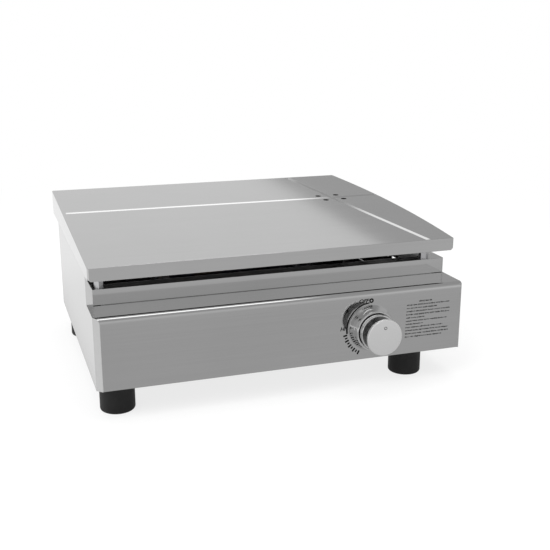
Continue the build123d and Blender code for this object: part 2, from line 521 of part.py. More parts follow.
# ================================================================ grease tray
tray = box(90.5, hw - SHEET - 0.4, TRAY_Y0, TRAY_Y1, TRAY_Z0, TRAY_Z1 - 4)
tray = tray - box(91.5, hw - SHEET - 1.4, TRAY_Y0 + 1, TRAY_Y1 - 1, TRAY_Z0 + 1, TRAY_Z1 + 10)
tray = tray + box(88.0, 91.5, TRAY_Y0, TRAY_Y1, TRAY_Z1 - 5, TRAY_Z1 - 4)
front = box(hw - SHEET - 0.5, hw, TRAY_Y0, TRAY_Y1, TRAY_Z0, TRAY_Z1)
tray = tray + front
tray = tray - (Pos(hw, (TRAY_Y0 + TRAY_Y1) / 2, TRAY_Z1) * Rot(0, 90, 0) * Cylinder(13, 10))
PARTS["grease_tray"] = biggest(tray)
run = []
for s, yy in ((-1, TRAY_Y0 - 0.4), (1, TRAY_Y1 + 0.4)):
    o = s * 1.2
    v = box(93.0, hw - SHEET - 1.4, yy, yy + o, zb, TRAY_Z0 + 17.0)
    f = box(93.0, hw - SHEET - 1.4, yy - s * 6.0, yy, TRAY_Z0 - 1.6, TRAY_Z0 - 0.4)
    g = box(93.0, 150.0, yy, yy + s * 8.0, zb, zb + 1.2)
    run.append(v + f + g)
PARTS["tray_runners"] = solids(*run)
# chute under the four drain holes leads grease into the tray
CXX, CYY = 153.9, 79.1
c_out = loft(Sketch() + [Pos(CXX, CYY, 141.2) * Rectangle(52, 50), Pos(CXX, CYY, 75.2) * Rectangle(26, 24)])
c_in = loft(Sketch() + [Pos(CXX, CYY, 141.7) * Rectangle(50.2, 48.2), Pos(CXX, CYY, 74.7) * Rectangle(23.8, 21.8)])
chute = c_out - c_in
arm = box(CXX + 20, hw - SHEET - 0.05, CYY - 12, CYY + 12, RIM_Z - SHEET - 1.4, RIM_Z - SHEET - 0.1)
chute = chute + (arm - c_out)
PARTS["drain_chute"] = biggest(chute)

# ================================================================ assembly screws
scr = []


def screw(p, axis, sgn, ln, r=2.0, head=3.6):
    x, y, z = p
    if axis == "y":
        a = cyl_y(x, z, y, y + sgn * 2.0, head) + cyl_y(x, z, y + sgn * 1.0, y - sgn * ln, r)
    else:
        a = cyl_x(y, z, x, x + sgn * 2.0, head) + cyl_x(y, z, x + sgn * 1.0, x - sgn * ln, r)
    return a


BACK_SCREWS = [(-196.0, 42.2), (196.0, 42.2), (-60.0, 42.2), (60.0, 42.2)]
for x, z in BACK_SCREWS:
    s = screw((x, BACK_Y, z), "y", 1, 8.0)
    scr.append(s)
    for n in ("back_panel", "base_pan"):
        PARTS[n] = PARTS[n] - cyl_y(x, z, BACK_Y - 12, BACK_Y + 5, 2.02)
PARTS["panel_screws"] = solids(*scr)

# drawn about the middle of the body; moved so the origin is under the middle
# of the overall box (plate right edge, plate back, knob face)
SHIFT = Pos(-PLATE_BOW / 2, -(PLATE_Y1 + KNOB_FACE) / 2, 0)
os.makedirs("parts", exist_ok=True)
for name, shape in PARTS.items():
    export_step(Compound(children=[b.moved(SHIFT) for b in shape.solids()]), f"parts/{name}.step")
print(len(PARTS), "parts")
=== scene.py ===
import json
import math

import bmesh
import bpy
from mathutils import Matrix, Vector


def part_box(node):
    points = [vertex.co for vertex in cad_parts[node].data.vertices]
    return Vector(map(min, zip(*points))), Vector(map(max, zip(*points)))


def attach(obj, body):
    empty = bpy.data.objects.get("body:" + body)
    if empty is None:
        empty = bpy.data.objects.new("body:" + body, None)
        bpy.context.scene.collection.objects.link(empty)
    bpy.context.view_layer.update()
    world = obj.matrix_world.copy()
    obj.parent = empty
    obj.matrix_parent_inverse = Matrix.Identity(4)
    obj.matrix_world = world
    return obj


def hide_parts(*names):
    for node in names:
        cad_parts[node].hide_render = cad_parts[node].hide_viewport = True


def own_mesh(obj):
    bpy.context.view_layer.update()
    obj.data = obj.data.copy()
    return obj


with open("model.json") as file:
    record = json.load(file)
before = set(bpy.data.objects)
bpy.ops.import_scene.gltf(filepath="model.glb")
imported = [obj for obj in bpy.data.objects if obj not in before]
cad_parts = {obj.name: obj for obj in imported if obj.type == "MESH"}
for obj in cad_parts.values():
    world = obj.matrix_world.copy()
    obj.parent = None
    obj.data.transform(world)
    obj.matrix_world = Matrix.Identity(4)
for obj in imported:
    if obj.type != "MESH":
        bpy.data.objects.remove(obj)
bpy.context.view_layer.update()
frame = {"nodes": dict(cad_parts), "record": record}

nodes = frame["nodes"]
bz_lo, bz_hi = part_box("knob_bezel")
KX, KZ = (bz_lo.x + bz_hi.x) / 2, (bz_lo.z + bz_hi.z) / 2      # knob axis
ch_lo, ch_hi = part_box("drain_chute")
DRAIN = (ch_lo.x + 0.026, (ch_lo.y + ch_hi.y) / 2)              # middle of the four drain holes
scene = bpy.context.scene
scene.view_settings.view_transform = "Standard"
scene.view_settings.look = "None"
scene.view_settings.exposure = 0.0
scene.view_settings.gamma = 1.0


# ------------------------------------------------------------------ node helpers
class Mat:
    """Small wrapper that builds a node material."""

    def __init__(self, name):
        self.m = bpy.data.materials.new(name)
        self.m.use_nodes = True
        self.t = self.m.node_tree
        self.t.nodes.clear()
        self.out = self.t.nodes.new("ShaderNodeOutputMaterial")
        self._coord = None

    def new(self, kind, **props):
        n = self.t.nodes.new(kind)
        for k, v in props.items():
            setattr(n, k, v)
        return n

    def link(self, a, b):
        self.t.links.new(a, b)

    def coord(self):
        if self._coord is None:
            self._coord = self.new("ShaderNodeTexCoord").outputs["Object"]
        return self._coord

    def mapping(self, scale, rot=(0, 0, 0), loc=(0, 0, 0)):
        n = self.new("ShaderNodeMapping")
        self.link(self.coord(), n.inputs["Vector"])
        n.inputs["Scale"].default_value = scale
        n.inputs["Rotation"].default_value = rot
        n.inputs["Location"].default_value = loc
        return n.outputs["Vector"]

    def noise(self, vec, scale=1.0, detail=3.0, rough=0.5):
        n = self.new("ShaderNodeTexNoise")
        self.link(vec, n.inputs["Vector"])
        n.inputs["Scale"].default_value = scale
        n.inputs["Detail"].default_value = detail
        n.inputs["Roughness"].default_value = rough
        return n.outputs["Fac"]

    def math(self, op, a, b=None, c=None, clamp=False):
        n = self.new("ShaderNodeMath", operation=op, use_clamp=clamp)
        for i, v in enumerate((a, b, c)):
            if v is None:
                continue
            if isinstance(v, (int, float)):
                n.inputs[i].default_value = v
            else:
                self.link(v, n.inputs[i])
        return n.outputs[0]

    def remap(self, v, a, b, c, d, smooth=False):
        n = self.new("ShaderNodeMapRange")
        if smooth:
            n.interpolation_type = "SMOOTHSTEP"
        self.link(v, n.inputs["Value"])
        n.inputs["From Min"].default_value = a
        n.inputs["From Max"].default_value = b
        n.inputs["To Min"].default_value = c
        n.inputs["To Max"].default_value = d
        return n.outputs["Result"]

    def mix(self, fac, a, b, blend="MIX"):
        n = self.new("ShaderNodeMix", data_type="RGBA", blend_type=blend)
        for i, v in ((0, fac), (6, a), (7, b)):
            if isinstance(v, (int, float)):
                n.inputs[i].default_value = v
            elif isinstance(v, (tuple, list)):
                n.inputs[i].default_value = tuple(v) + ((1.0,) if len(v) == 3 else ())
            else:
                self.link(v, n.inputs[i])
        return n.outputs[2]

    def grey(self, v):
        n = self.new("ShaderNodeCombineColor")
        for i in range(3):
            self.link(v, n.inputs[i])
        return n.outputs[0]

    def principled(self, **kw):
        n = self.new("ShaderNodeBsdfPrincipled")
        for k, v in kw.items():
            key = k.replace("_", " ")
            if isinstance(v, (int, float)):
                n.inputs[key].default_value = v
            elif isinstance(v, (tuple, list)):
                n.inputs[key].default_value = tuple(v) + ((1.0,) if len(v) == 3 else ())
            else:
                self.link(v, n.inputs[key])
        self.link(n.outputs[0], self.out.inputs["Surface"])
        return n

    def bump(self, height, strength, dist, normal=None):
        n = self.new("ShaderNodeBump")
        n.inputs["Strength"].default_value = strength
        n.inputs["Distance"].default_value = dist
        self.link(height, n.inputs["Height"])
        if normal is not None:
            self.link(normal, n.inputs["Normal"])
        return n.outputs["Normal"]

    def bevel(self, radius, samples=4):
        n = self.new("ShaderNodeBevel", samples=samples)
        n.inputs["Radius"].default_value = radius
        return n.outputs["Normal"]

    def edge_mask(self, bevel_normal):
        """1 on a sharp edge, 0 on flat metal."""
        g = self.new("ShaderNodeNewGeometry")
        d = self.new("ShaderNodeVectorMath", operation="DOT_PRODUCT")
        self.link(bevel_normal, d.inputs[0])
        self.link(g.outputs["Normal"], d.inputs[1])
        return self.remap(d.outputs["Value"], 0.995, 0.80, 0.0, 1.0)


def steel(name, base, rough, grain="x", amount=1.0, aniso=0.35, edge=0.0005, tint=(1.0, 1.0, 1.0),
          fine=900.0, long=7.0, smudge=0.05, wear_and_sheen=0.35, use_bevel=True, underside_shade=None, jitter=0.16, drain=None):
    """Brushed or satin sheet metal: long fine grain, cloudy roughness, edges brightened as rubbed wear plus a painted
    highlight.
    """
    m = Mat(name)
    stretch = {"x": (long, fine, fine), "y": (fine, long, fine), "z": (fine, fine, long)}[grain]
    g1 = m.noise(m.mapping(stretch), 1.0, 4.0, 0.6)
    stretch2 = tuple(v * 0.28 for v in stretch)
    g2 = m.noise(m.mapping(stretch2, loc=(3.1, 1.7, 0.4)), 1.0, 2.0, 0.5)
    grain_v = m.math("ADD", m.math("MULTIPLY", g1, 0.6), m.math("MULTIPLY", g2, 0.4))
    cloud = m.noise(m.mapping((9, 9, 9)), 1.0, 3.0, 0.55)
    r = m.math("ADD", rough, m.math("MULTIPLY", m.math("SUBTRACT", grain_v, 0.5), jitter * amount))
    r = m.math("ADD", r, m.math("MULTIPLY", m.math("SUBTRACT", cloud, 0.5), smudge))
    shade = m.remap(grain_v, 0.3, 0.7, 1.0 - 0.05 * amount, 1.0 + 0.05 * amount)
    shade = m.math("MULTIPLY", shade, m.remap(cloud, 0.3, 0.7, 0.985, 1.015))
    col = m.mix(1.0, (base * tint[0], base * tint[1], base * tint[2]), m.grey(shade), "MULTIPLY")
    nrm = None
    if use_bevel:
        nrm = m.bevel(edge)
        e = m.edge_mask(nrm)
        e = m.math("MULTIPLY", e, m.remap(m.noise(m.mapping((160, 160, 160)), 1.0, 3.0), 0.35, 0.65, 0.3, 1.0))
        # edges mixed towards light grey: rubbed wear plus a painted highlight along bends and folds
        col = m.mix(m.math("MULTIPLY", e, wear_and_sheen), col, (0.9, 0.9, 0.9))
    if underside_shade is not None:
        # painted shade: faces that look down over the burner are painted near-black and made dull, mottled like soot
        gn = m.new("ShaderNodeNewGeometry")
        sn = m.new("ShaderNodeSeparateXYZ")
        m.link(gn.outputs["True Normal"], sn.inputs[0])
        low = m.remap(sn.outputs["Z"], -0.35, -0.6, 0.0, 1.0)
        if drain is not None:
            # painted shade: the walls of the drain holes around the crossing at drain (x, y) get the same near-black
            # colour, so the holes read black
            ps = m.new("ShaderNodeSeparateXYZ")
            m.link(m.coord(), ps.inputs[0])
            dx, dy = m.math("SUBTRACT", ps.outputs["X"], drain[0]), m.math("SUBTRACT", ps.outputs["Y"], drain[1])
            rad = m.math("SQRT", m.math("ADD", m.math("MULTIPLY", dx, dx), m.math("MULTIPLY", dy, dy)))
            wall = m.math("MULTIPLY", m.math("LESS_THAN", rad, 0.035),
                          m.math("LESS_THAN", m.math("ABSOLUTE", sn.outputs["Z"]), 0.5))
            low = m.math("MAXIMUM", low, wall)
        soot = m.remap(m.noise(m.mapping((30, 30, 30)), 1.0, 4.0, 0.6), 0.35, 0.7, 0.6, 1.3)
        dark = m.mix(1.0, (underside_shade, underside_shade * 0.95, underside_shade * 0.9), m.grey(soot), "MULTIPLY")
        col = m.mix(low, col, dark)
        r = m.math("ADD", r, m.math("MULTIPLY", low, 0.35))
    normal = m.bump(grain_v, 0.10 * amount, 0.00004, nrm)
    tangent = m.new("ShaderNodeCombineXYZ")
    across = {"x": (0.0, 1.0, 1.0), "y": (1.0, 0.0, 1.0), "z": (1.0, 1.0, 0.0)}[grain]
    for i in range(3):
        tangent.inputs[i].default_value = across[i]
    m.principled(Base_Color=col, Metallic=1.0, Roughness=r, Anisotropic=aniso,
                 Normal=normal, Tangent=tangent.outputs[0])
    return m.m


def plated(name, base, rough, tint=(1, 1, 1), speck=0.05, edge=0.0003, wear_and_sheen=0.3, scale=1.0):
    """Small zinc plated, turned or cast metal part: mottled film, tool marks, edges brightened as rubbed wear plus a
    painted highlight.
    """
    m = Mat(name)
    n1 = m.noise(m.mapping((420 * scale, 420 * scale, 420 * scale)), 1.0, 4.0, 0.6)
    n2 = m.noise(m.mapping((60 * scale, 60 * scale, 60 * scale)), 1.0, 3.0, 0.5)
    r = m.math("ADD", rough, m.math("MULTIPLY", m.math("SUBTRACT", n1, 0.5), 0.22))
    shade = m.math("MULTIPLY", m.remap(n2, 0.3, 0.7, 1 - speck, 1 + speck), m.remap(n1, 0.3, 0.7, 1 - speck, 1 + speck))
    col = m.mix(1.0, (base * tint[0], base * tint[1], base * tint[2]), m.grey(shade), "MULTIPLY")
    nrm = m.bevel(edge, 3)
    e = m.math("MULTIPLY", m.edge_mask(nrm), wear_and_sheen)
    # edges mixed towards light grey: rubbed wear plus a painted highlight
    col = m.mix(e, col, (0.9 * tint[0], 0.9 * tint[1], 0.9 * tint[2]))
    m.principled(Base_Color=col, Metallic=1.0, Roughness=r, Normal=m.bump(n1, 0.12, 0.00005, nrm))
    return m.m


def chrome(name, base, rough, tint=(1, 1, 1)):
    m = Mat(name)
    n1 = m.noise(m.mapping((35, 35, 35)), 1.0, 3.0, 0.5)
    n2 = m.noise(m.mapping((900, 900, 900)), 1.0, 2.0, 0.5)
    r = m.math("ADD", rough, m.math("MULTIPLY", n1, 0.05))
    col = m.mix(1.0, (base * tint[0], base * tint[1], base * tint[2]), m.grey(m.remap(n1, 0.3, 0.7, 0.97, 1.03)), "MULTIPLY")
    nrm = m.bevel(0.0003, 3)
    m.principled(Base_Color=col, Metallic=1.0, Roughness=r, Normal=m.bump(n2, 0.03, 0.00002, nrm))
    return m.m


def polymer(name, base, rough, grain=0.15, scale=700.0, spec=0.4, edge=0.0004, light=1.6):
    """Moulded rubber or plastic: fine pitted skin, slightly worn edges, dust in the pits."""
    m = Mat(name)
    n1 = m.noise(m.mapping((scale, scale, scale)), 1.0, 4.0, 0.6)
    n2 = m.noise(m.mapping((25, 25, 25)), 1.0, 3.0, 0.5)
    nrm = m.bevel(edge, 3)
    e = m.edge_mask(nrm)
    c0 = tuple(base)
    c1 = tuple(min(1.0, c * light + 0.012) for c in base)
    col = m.mix(m.remap(n2, 0.35, 0.7, 0.0, 0.5), c0, c1)
    col = m.mix(m.math("MULTIPLY", e, 0.35), col, tuple(min(1, c * 3 + 0.03) for c in base))
    r = m.math("ADD", rough, m.math("MULTIPLY", m.math("SUBTRACT", n1, 0.5), 0.3))
    p = m.principled(Base_Color=col, Roughness=r, Normal=m.bump(n1, grain, 0.0001, nrm))
    p.inputs["Specular IOR Level"].default_value = spec
    return m.m


def ribbed(name, base, rough, axis, count):
    """Black chrome band with fine ribs around the knob axis given as (x, z); rib crests carry painted glints as lighter
    speckles.
    """
    m = Mat(name)
    xyz = m.new("ShaderNodeSeparateXYZ")
    m.link(m.coord(), xyz.inputs[0])
    ang = m.math("ARCTAN2", m.math("SUBTRACT", xyz.outputs["Z"], axis[1]), m.math("SUBTRACT", xyz.outputs["X"], axis[0]))
    wave = m.math("SINE", m.math("MULTIPLY", ang, float(count)))
    nz = m.noise(m.mapping((260, 260, 260)), 1.0, 3.0, 0.6)
    rib = m.remap(wave, 0.1, 0.9, 0.0, 1.0, True)
    # painted glints: rib crests lightened where the noise is high
    rib_glint = m.math("MULTIPLY", rib, m.remap(nz, 0.42, 0.62, 0.0, 1.0))
    col = m.mix(rib_glint, (base, base, base), (base * 7, base * 7, base * 7))
    r = m.math("ADD", rough, m.math("MULTIPLY", nz, 0.12))
    m.principled(Base_Color=col, Metallic=1.0, Roughness=r, Normal=m.bump(wave, 0.5, 0.0002, m.bevel(0.0003, 3)))
    return m.m


def burner_metal(name):
    """Stainless that has been hot: straw and blue bands near the ports, soot specks."""
    m = Mat(name)
    band = m.noise(m.mapping((14, 14, 40)), 1.0, 3.0, 0.6)
    ramp = m.new("ShaderNodeValToRGB")
    m.link(band, ramp.inputs["Fac"])
    ramp.color_ramp.elements[0].position = 0.34
    ramp.color_ramp.elements[0].color = (0.32, 0.31, 0.30, 1)
    ramp.color_ramp.elements[1].position = 0.66
    ramp.color_ramp.elements[1].color = (0.36, 0.26, 0.16, 1)
    mid = ramp.color_ramp.elements.new(0.52)
    mid.color = (0.20, 0.20, 0.27, 1)
    soot = m.noise(m.mapping((180, 180, 180)), 1.0, 4.0, 0.6)
    col = m.mix(m.remap(soot, 0.52, 0.7, 0.0, 0.6), ramp.outputs["Color"], (0.03, 0.03, 0.03))
    nrm = m.bevel(0.0003, 3)
    m.principled(Base_Color=col, Metallic=0.9, Roughness=m.remap(soot, 0.3, 0.7, 0.3, 0.6),
                 Normal=m.bump(soot, 0.15, 0.0001, nrm))
    return m.m


def glazed(name):
    m = Mat(name)
    n1 = m.noise(m.mapping((300, 300, 300)), 1.0, 3.0, 0.5)
    col = m.mix(m.remap(n1, 0.35, 0.7, 0.0, 1.0), (0.82, 0.80, 0.74), (0.70, 0.67, 0.60))
    m.principled(Base_Color=col, Roughness=0.22, Normal=m.bump(n1, 0.06, 0.0001, m.bevel(0.0003, 3)))
    return m.m


def ink(name, base=(0.003, 0.003, 0.003), spec=0.08):
    m = Mat(name)
    n1 = m.noise(m.mapping((2500, 2500, 2500)), 1.0, 3.0, 0.5)
    col = m.mix(m.remap(n1, 0.4, 0.75, 0.0, 0.35), base, tuple(c + 0.01 for c in base))
    p = m.principled(Base_Color=col, Roughness=0.6, Normal=m.bump(n1, 0.1, 0.00003))
    p.inputs["Specular IOR Level"].default_value = spec
    return m.m


M = {
    # the plate's underside value paints its down-facing faces and drain-hole walls near-black as shade
    "plate_steel": steel("plate_steel_mat", 0.62, 0.085, "x", 0.5, 0.30, edge=0.0005, smudge=0.025, long=5.0, fine=700,
                         underside_shade=0.05, jitter=0.06, drain=DRAIN),
    "body_front": steel("body_front_mat", 0.60, 0.08, "x", 0.5, 0.35, edge=0.0004, smudge=0.03, jitter=0.07),
    "body_side": steel("body_side_mat", 0.64, 0.20, "y", 0.5, 0.5, edge=0.0004, smudge=0.04, jitter=0.10),
    "pan_steel": steel("pan_steel_mat", 0.42, 0.36, "x", 1.0, 0.2, edge=0.0004),
    # painted shade: the drain chute under the holes is coloured near-black so the holes read black
    "chute_dark": steel("chute_dark_mat", 0.10, 0.55, "z", 1.0, 0.0, edge=0.0004, wear_and_sheen=0.1, smudge=0.2),
    "tray_steel": steel("tray_steel_mat", 0.55, 0.30, "x", 1.0, 0.3, edge=0.0004),
    "burner_steel": burner_metal("burner_steel_mat"),
    "zinc_steel": plated("zinc_steel_mat", 0.62, 0.30, (1.0, 1.0, 1.02)),
    "steel_bar": plated("steel_bar_mat", 0.55, 0.22),
    "brass": plated("brass_mat", 0.80, 0.26, (1.0, 0.74, 0.36), speck=0.08),
    "aluminium_tube": plated("aluminium_tube_mat", 0.70, 0.34, speck=0.04, scale=0.6),
    "rubber": polymer("rubber_mat", (0.010, 0.010, 0.010), 0.55, 0.25, spec=0.3),
    "lead_rubber": polymer("lead_rubber_mat", (0.05, 0.012, 0.010), 0.42, 0.1),
    "black_plastic": polymer("black_plastic_mat", (0.02, 0.02, 0.02), 0.40, 0.12),
    "ceramic": glazed("ceramic_mat"),
    "chrome": chrome("chrome_mat", 0.72, 0.05),
    "dark_chrome": ribbed("dark_chrome_mat", 0.045, 0.12, (KX, KZ), 72),
    "knob_satin": steel("knob_satin_mat", 0.96, 0.46, "x", 0.3, 0.0, edge=0.0003, fine=1500, long=1500),
    "ink": ink("ink_mat"),
    "ink_grey": ink("ink_grey_mat", (0.14, 0.14, 0.14)),
}
SPECIAL = {
    "left_side_panel": "body_side", "right_side_panel": "body_side",
    "upper_fascia": "body_front", "control_panel": "body_front", "back_panel": "body_front",
    "knob_indicator": "ink_grey", "drain_chute": "chute_dark",
}
slots = {s["node"]: s["material_slot"] for s in frame["record"]["subparts"]}
for name, o in nodes.items():
    o.data.materials.clear()
    o.data.materials.append(M[SPECIAL.get(name) or slots[name]])

# ------------------------------------------------------------------ printed dial
panel_lo, panel_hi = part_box("control_panel")
PY = panel_lo.y                 # outer face of the control panel
PRINT = 0.00006                 # print film thickness
scale_k = (bz_hi.x - bz_lo.x) / 0.0544


def film(name, polys, mat="ink"):
    """Thin printed patches on the panel face; polys are lists of (x, z) in metres about the knob axis."""
    bm = bmesh.new()
    for poly in polys:
        back = [bm.verts.new((KX + x, PY - 0.00001, KZ + z)) for x, z in poly]
        frnt = [bm.verts.new((KX + x, PY - 0.00001 - PRINT, KZ + z)) for x, z in poly]
        n = len(poly)
        bm.faces.new(frnt)
        bm.faces.new(list(reversed(back)))
        for i in range(n):
            j = (i + 1) % n
            bm.faces.new((back[i], back[j], frnt[j], frnt[i]))
    bmesh.ops.recalc_face_normals(bm, faces=bm.faces[:])
    me = bpy.data.meshes.new(name)
    bm.to_mesh(me)
    bm.free()
    o = bpy.data.objects.new(name, me)
    scene.collection.objects.link(o)
    me.materials.append(M[mat])
    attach(o, "chassis")
    return o


def pol(r, deg):
    """Point at radius r (mm) and angle deg anticlockwise from the top, seen from the front."""
    a = math.radians(deg)
    return (-r * math.sin(a) / 1000.0, r * math.cos(a) / 1000.0)


def arc_quads(r0, r1, a0, a1, n, taper=0.0):
    out = []
    for i in range(n):
        u, v = a0 + (a1 - a0) * i / n, a0 + (a1 - a0) * (i + 1) / n
        wu = (r1 - r0) / 2 * (1 - taper * (1 - i / n))
        wv = (r1 - r0) / 2 * (1 - taper * (1 - (i + 1) / n))
        rm = (r0 + r1) / 2
        out.append([pol(rm - wu, u), pol(rm + wu, u), pol(rm + wv, v), pol(rm - wv, v)])
    return out


film("dial_arc", arc_quads(28.8, 30.9, 5.0, 99.0, 60, 0.35))
ring_c = (-0.0002, 0.0321)
ring = []
for i in range(28):
    a, b = 2 * math.pi * i / 28, 2 * math.pi * (i + 1) / 28
    ring.append([(ring_c[0] + math.cos(t) * r, ring_c[1] + math.sin(t) * r)
                 for t, r in ((a, 0.00105), (a, 0.00280), (b, 0.00280), (b, 0.00105))])
film("dial_off_ring", ring)
ticks = []
for i in range(9):
    ang = 102.0 + i * (152.0 - 102.0) / 8
    r0, r1 = (29.9, 34.8) if i % 2 == 0 else (30.4, 33.6)
    w = 1.0 if i % 2 == 0 else 0.85
    c0, c1 = pol(r0, ang), pol(r1, ang)
    dx, dz = c1[0] - c0[0], c1[1] - c0[1]
    ln = math.hypot(dx, dz)
    nx, nz = -dz / ln * w / 1000, dx / ln * w / 1000
    ticks.append([(c0[0] + nx, c0[1] + nz), (c1[0] + nx, c1[1] + nz), (c1[0] - nx, c1[1] - nz), (c0[0] - nx, c0[1] - nz)])
film("dial_ticks", ticks)
bc = (-29.9, 22.9)
bolt = [(2.6, 4.6), (-2.9, -0.6), (-0.5, -0.2), (-2.8, -5.2), (3.1, 0.9), (0.5, 0.6)]
film("dial_bolt", [[((bc[0] + x) / 1000, (bc[1] + z) / 1000) for x, z in bolt]])


def lettering(name, text, x, z, size, shear=0.25, width=1.0):
    """Upright generic dial lettering turned into a thin mesh."""
    cu = bpy.data.curves.new(name, "FONT")
    cu.body = text
    cu.size = size
    cu.align_x = "CENTER"
    cu.align_y = "CENTER"
    cu.shear = shear
    cu.extrude = PRINT / 2
    cu.offset = 0.00018
    o = bpy.data.objects.new(name + "_src", cu)
    scene.collection.objects.link(o)
    bpy.context.view_layer.update()
    dg = bpy.context.evaluated_depsgraph_get()
    me = bpy.data.meshes.new_from_object(o.evaluated_get(dg))
    me.name = name
    bpy.data.objects.remove(o)
    for v in me.vertices:
        lx, ly, lz = v.co
        v.co = (KX + x + lx * width, PY - 0.00001 - PRINT / 2 - lz, KZ + z + ly)
    me.materials.clear()
    me.materials.append(M["ink"])
    ob = bpy.data.objects.new(name, me)
    scene.collection.objects.link(ob)
    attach(ob, "chassis")
    return ob


lettering("dial_off_text", "OFF", -0.0102, 0.0322, 0.0061, 0.3, 1.12)
lettering("dial_hi_text", "HI", -0.0352, 0.0016, 0.0062, 0.3, 1.0)

# care label: plain bars where the real panel has fine print
seed = 7


def rnd():
    global seed
    seed = (seed * 1103515245 + 12345) % 2147483648
    return seed / 2147483648.0


def strokes(x0, x1, z, h):
    """A run of small upright dashes of uneven height: texture only, no letters."""
    out = []
    x = x0
    word = 0
    while x < x1:
        w = 0.0006 + 0.0005 * rnd()
        hh = h * (0.55 + 0.75 * rnd())
        up = (rnd() - 0.5) * 0.0003
        out.append([(x, z + up - hh / 2), (min(x + w, x1), z + up - hh / 2),
                    (min(x + w, x1), z + up + hh / 2), (x, z + up + hh / 2)])
        x += w + 0.0003 + 0.0003 * rnd()
        word += 1
        if word > 3 + 5 * rnd():
            x += 0.0007
            word = 0
    return out


film("label_title_bar", strokes(0.0607, 0.0773, 0.0255, 0.0017))
rows = []
for k, frac in enumerate([1, .70, 1, 1, .43, .95, .40, .86, 1, 1, .85]):
    zz = 0.0216 - 0.00388 * k
    x0 = 0.0452 - 0.00012 * k
    rows += strokes(x0, x0 + 0.0560 * frac, zz, 0.0014)
film("label_bars", rows)

# ------------------------------------------------------------------ return spring
# the coil closes up as the knob is pushed; here the coil is built at rest and attached to the chassis
sp_lo, sp_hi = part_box("return_spring")
WIRE = 0.0005
coil_r = (sp_hi.x - sp_lo.x) / 2 - WIRE
y_end, y_len = sp_hi.y - WIRE, (sp_hi.y - sp_lo.y) - 2 * WIRE
TURNS, CLOSED = 5.5, 0.00108       # closed end turns lie against their neighbours


def coil_y(t):
    if t < 1.0:
        return y_end - CLOSED * t
    if t > TURNS - 1.0:
        return y_end - y_len + CLOSED * (TURNS - t)
    return y_end - CLOSED - (y_len - 2 * CLOSED) * (t - 1.0) / (TURNS - 2.0)


bm = bmesh.new()
rings, SEG, RND = [], 40, 10
for i in range(int(TURNS * SEG) + 1):
    t = i / SEG
    a = 2 * math.pi * t
    radial = Vector((math.cos(a), 0.0, math.sin(a)))
    c = Vector((KX + coil_r * radial.x, coil_y(t), KZ + coil_r * radial.z))
    rings.append([bm.verts.new(c + WIRE * (math.cos(2 * math.pi * k / RND) * radial
                                           + Vector((0.0, math.sin(2 * math.pi * k / RND), 0.0)))) for k in range(RND)])
for r0, r1 in zip(rings, rings[1:]):
    for k in range(RND):
        bm.faces.new((r0[k], r0[(k + 1) % RND], r1[(k + 1) % RND], r1[k]))
bm.faces.new(rings[0])
bm.faces.new(list(reversed(rings[-1])))
bmesh.ops.recalc_face_normals(bm, faces=bm.faces[:])
for f in bm.faces:
    f.smooth = len(f.verts) == 4
sp_me = bpy.data.meshes.new("knob_spring_coil")
bm.to_mesh(sp_me)
bm.free()
sp_me.materials.append(M["steel_bar"])
spring = bpy.data.objects.new("knob_spring_coil", sp_me)
scene.collection.objects.link(spring)
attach(spring, "chassis")
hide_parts("return_spring")
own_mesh(spring)

# ------------------------------------------------------------------ stage
bpy.ops.mesh.primitive_plane_add(size=40.0, location=(0, 0, 0))
floor = bpy.context.object
floor.name = "floor"
fm = Mat("floor_mat")
lp = fm.new("ShaderNodeLightPath")
geo = fm.new("ShaderNodeNewGeometry")
sep = fm.new("ShaderNodeSeparateXYZ")
fm.link(geo.outputs["Position"], sep.inputs[0])
dif = fm.new("ShaderNodeBsdfDiffuse")
dif.inputs["Color"].default_value = (0.93, 0.93, 0.93, 1)
# seen straight: nearly white with a light contact shadow, plain white far away
white = fm.new("ShaderNodeEmission")
white.inputs["Strength"].default_value = 1.0
rad = fm.new("ShaderNodeVectorMath", operation="LENGTH")
fm.link(geo.outputs["Position"], rad.inputs[0])
far = fm.remap(rad.outputs["Value"], 0.35, 1.3, 0.78, 1.0, True)
seen = fm.new("ShaderNodeMixShader")
fm.link(far, seen.inputs[0])
fm.link(dif.outputs[0], seen.inputs[1])
fm.link(white.outputs[0], seen.inputs[2])
cam_mix = fm.new("ShaderNodeMixShader")
fm.link(lp.outputs["Is Camera Ray"], cam_mix.inputs[0])
fm.link(dif.outputs[0], cam_mix.inputs[1])
fm.link(seen.outputs[0], cam_mix.inputs[2])
# seen in the steel: bright sweep to the left and back, softer in front
side = fm.remap(sep.outputs["X"], -0.25, -0.20, 1.0, 0.0, True)
backg = fm.remap(sep.outputs["Y"], -0.45, 0.35, 0.0, 1.0, True)
lift = fm.math("MULTIPLY", side, fm.math("ADD", 0.86, fm.math("MULTIPLY", backg, 0.10)))
ahead = fm.remap(sep.outputs["Y"], -0.46, -0.60, 0.0, 1.0, True)
farb = fm.math("MULTIPLY", side, fm.remap(sep.outputs["Y"], 0.28, 0.55, 0.0, 0.16, True))
lift = fm.math("ADD", lift, farb)
lvl = fm.math("ADD", fm.math("ADD", 0.49, fm.math("MULTIPLY", ahead, 0.07)), fm.math("MULTIPLY", lift, 0.42))
em = fm.new("ShaderNodeEmission")
fm.link(lvl, em.inputs["Strength"])
mx = fm.new("ShaderNodeMixShader")
fm.link(lp.outputs["Is Glossy Ray"], mx.inputs[0])
fm.link(cam_mix.outputs[0], mx.inputs[1])
fm.link(em.outputs[0], mx.inputs[2])
fm.link(mx.outputs[0], fm.out.inputs["Surface"])
floor.data.materials.append(fm.m)

